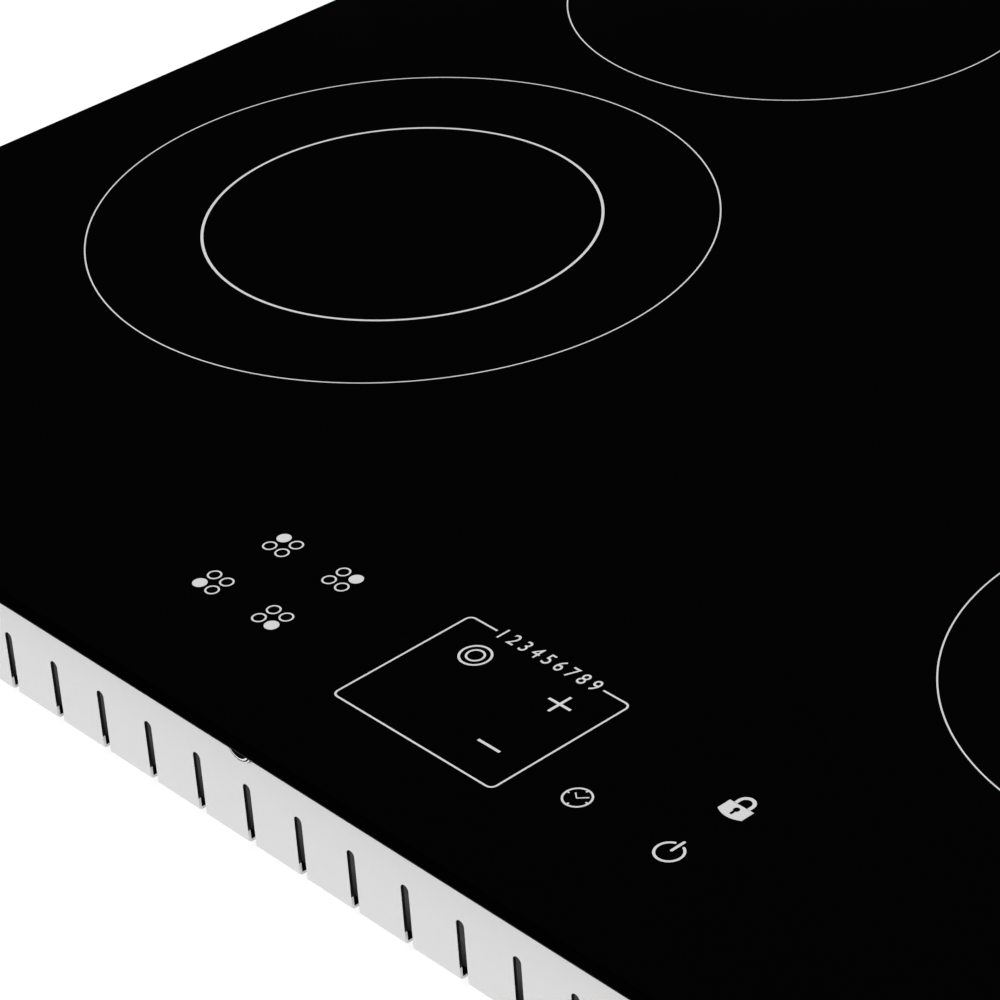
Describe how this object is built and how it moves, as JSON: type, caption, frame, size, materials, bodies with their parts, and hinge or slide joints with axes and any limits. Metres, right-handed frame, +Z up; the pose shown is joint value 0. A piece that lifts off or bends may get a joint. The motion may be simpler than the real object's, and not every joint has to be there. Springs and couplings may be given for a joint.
{
  "type": "induction cooktop",
  "caption": "Built-in electric induction cooktop: flat black glass with printed zone rings and touch keys on a slotted sheet tray, with sprung coil decks, boards, fans and worktop clamps.",
  "frame": {"origin": "middle of the underside of the base tray and glass outline, on the surface it stands on", "axes": "+X to the right along the front edge, +Y towards the wall, +Z up out of the glass"},
  "size_m": [0.584, 0.51, 0.043],
  "materials": {
    "glass": "polished black glass ceramic, opaque",
    "light_sheet": "light grey coated sheet steel, matt",
    "zinc_sheet": "zinc plated sheet steel",
    "silicone": "black silicone",
    "foam": "black closed-cell foam tape",
    "bright_screw": "bright zinc plated screw",
    "black_plastic": "black moulded plastic",
    "aluminium": "mill finish aluminium",
    "mica": "pressed mica sheet",
    "spring_steel": "spring steel wire",
    "ferrite": "sintered ferrite",
    "former_plastic": "heat resistant plastic",
    "litz_copper": "enamelled copper litz wire",
    "sensor_silicone": "grey silicone with a ceramic cap",
    "board_green": "green solder mask",
    "components": "mixed capacitors, chokes and relays",
    "transistor": "black moulded package",
    "impeller_plastic": "black glass filled plastic",
    "terminal_plastic": "off-white plastic",
    "brass_screw": "plated brass screw",
    "contact_spring": "gold flashed contact spring",
    "display_black": "smoked display cover"
  },
  "bodies": {
    "hob": {"glass_top": "glass", "glass_adhesive": "silicone", "support_frame": "zinc_sheet", "worktop_seal": "foam", "base_tray": "light_sheet", "frame_screws": "bright_screw", "front_baffle": "black_plastic", "left_deck_springs": "spring_steel", "right_deck_springs": "spring_steel", "left_power_board": "board_green", "right_power_board": "board_green", "left_board_parts": "components", "right_board_parts": "components", "left_heatsink": "aluminium", "right_heatsink": "aluminium", "left_transistors": "transistor", "right_transistors": "transistor", "left_fan_housing": "black_plastic", "right_fan_housing": "black_plastic", "filter_board": "board_green", "filter_parts": "components", "board_pillars": "zinc_sheet", "terminal_block": "terminal_plastic", "terminal_screws": "brass_screw", "cable_inlet": "black_plastic", "control_springs": "spring_steel", "clamp_brackets": "zinc_sheet", "clamp_screws": "brass_screw"},
    "left_deck": {"left_coil_plate": "aluminium", "left_mica_sheet": "mica", "left_ferrites": "ferrite", "front_left_coil_former": "former_plastic", "back_left_coil_former": "former_plastic", "front_left_outer_winding": "litz_copper", "front_left_inner_winding": "litz_copper", "back_left_winding": "litz_copper"},
    "right_deck": {"right_coil_plate": "aluminium", "right_mica_sheet": "mica", "right_ferrites": "ferrite", "front_right_coil_former": "former_plastic", "back_right_coil_former": "former_plastic", "front_right_winding": "litz_copper", "back_right_winding": "litz_copper"},
    "front_left_sensor": {"front_left_sensor": "sensor_silicone"},
    "back_left_sensor": {"back_left_sensor": "sensor_silicone"},
    "front_right_sensor": {"front_right_sensor": "sensor_silicone"},
    "back_right_sensor": {"back_right_sensor": "sensor_silicone"},
    "touch_control": {"control_carrier": "black_plastic", "touch_board": "board_green", "key_springs": "contact_spring", "display_module": "display_black"},
    "left_fan": {"left_fan_impeller": "impeller_plastic"},
    "right_fan": {"right_fan_impeller": "impeller_plastic"},
    "front_left_clamp": {"front_left_clamp": "zinc_sheet"},
    "back_left_clamp": {"back_left_clamp": "zinc_sheet"},
    "front_right_clamp": {"front_right_clamp": "zinc_sheet"},
    "back_right_clamp": {"back_right_clamp": "zinc_sheet"}
  },
  "joints": [
    {"name": "left_deck_press", "type": "slide", "parent": "hob", "child": "left_deck", "axis": [0, 0, -1], "range_m": [0, 0.0015], "stiffness_N_per_m": 12000, "springref_m": -0.004, "deforming": ["left_deck_springs"]},
    {"name": "right_deck_press", "type": "slide", "parent": "hob", "child": "right_deck", "axis": [0, 0, -1], "range_m": [0, 0.0015], "stiffness_N_per_m": 12000, "springref_m": -0.004, "deforming": ["right_deck_springs"]},
    {"name": "front_left_sensor_press", "type": "slide", "parent": "left_deck", "child": "front_left_sensor", "axis": [0, 0, -1], "range_m": [0, 0.001], "stiffness_N_per_m": 200, "springref_m": -0.003},
    {"name": "back_left_sensor_press", "type": "slide", "parent": "left_deck", "child": "back_left_sensor", "axis": [0, 0, -1], "range_m": [0, 0.001], "stiffness_N_per_m": 200, "springref_m": -0.003},
    {"name": "front_right_sensor_press", "type": "slide", "parent": "right_deck", "child": "front_right_sensor", "axis": [0, 0, -1], "range_m": [0, 0.001], "stiffness_N_per_m": 200, "springref_m": -0.003},
    {"name": "back_right_sensor_press", "type": "slide", "parent": "right_deck", "child": "back_right_sensor", "axis": [0, 0, -1], "range_m": [0, 0.001], "stiffness_N_per_m": 200, "springref_m": -0.003},
    {"name": "touch_control_press", "type": "slide", "parent": "hob", "child": "touch_control", "axis": [0, 0, -1], "range_m": [0, 0.0012], "stiffness_N_per_m": 1500, "springref_m": -0.003, "deforming": ["control_springs"]},
    {"name": "left_fan_spin", "type": "hinge", "parent": "hob", "child": "left_fan", "pos_m": [-0.158, 0.1085, 0.008], "axis": [0, 0, 1], "continuous": true},
    {"name": "right_fan_spin", "type": "hinge", "parent": "hob", "child": "right_fan", "pos_m": [0.158, 0.1085, 0.008], "axis": [0, 0, 1], "continuous": true},
    {"name": "front_left_clamp_swing", "type": "hinge", "parent": "hob", "child": "front_left_clamp", "pos_m": [-0.269, -0.1799, 0.006], "axis": [0, 0, 1], "range_deg": [0, 90]},
    {"name": "back_left_clamp_swing", "type": "hinge", "parent": "hob", "child": "back_left_clamp", "pos_m": [-0.269, 0.1501, 0.006], "axis": [0, 0, 1], "range_deg": [0, 90]},
    {"name": "front_right_clamp_swing", "type": "hinge", "parent": "hob", "child": "front_right_clamp", "pos_m": [0.269, -0.1799, 0.006], "axis": [0, 0, -1], "range_deg": [0, 90]},
    {"name": "back_right_clamp_swing", "type": "hinge", "parent": "hob", "child": "back_right_clamp", "pos_m": [0.269, 0.1501, 0.006], "axis": [0, 0, -1], "range_deg": [0, 90]}
  ]
}
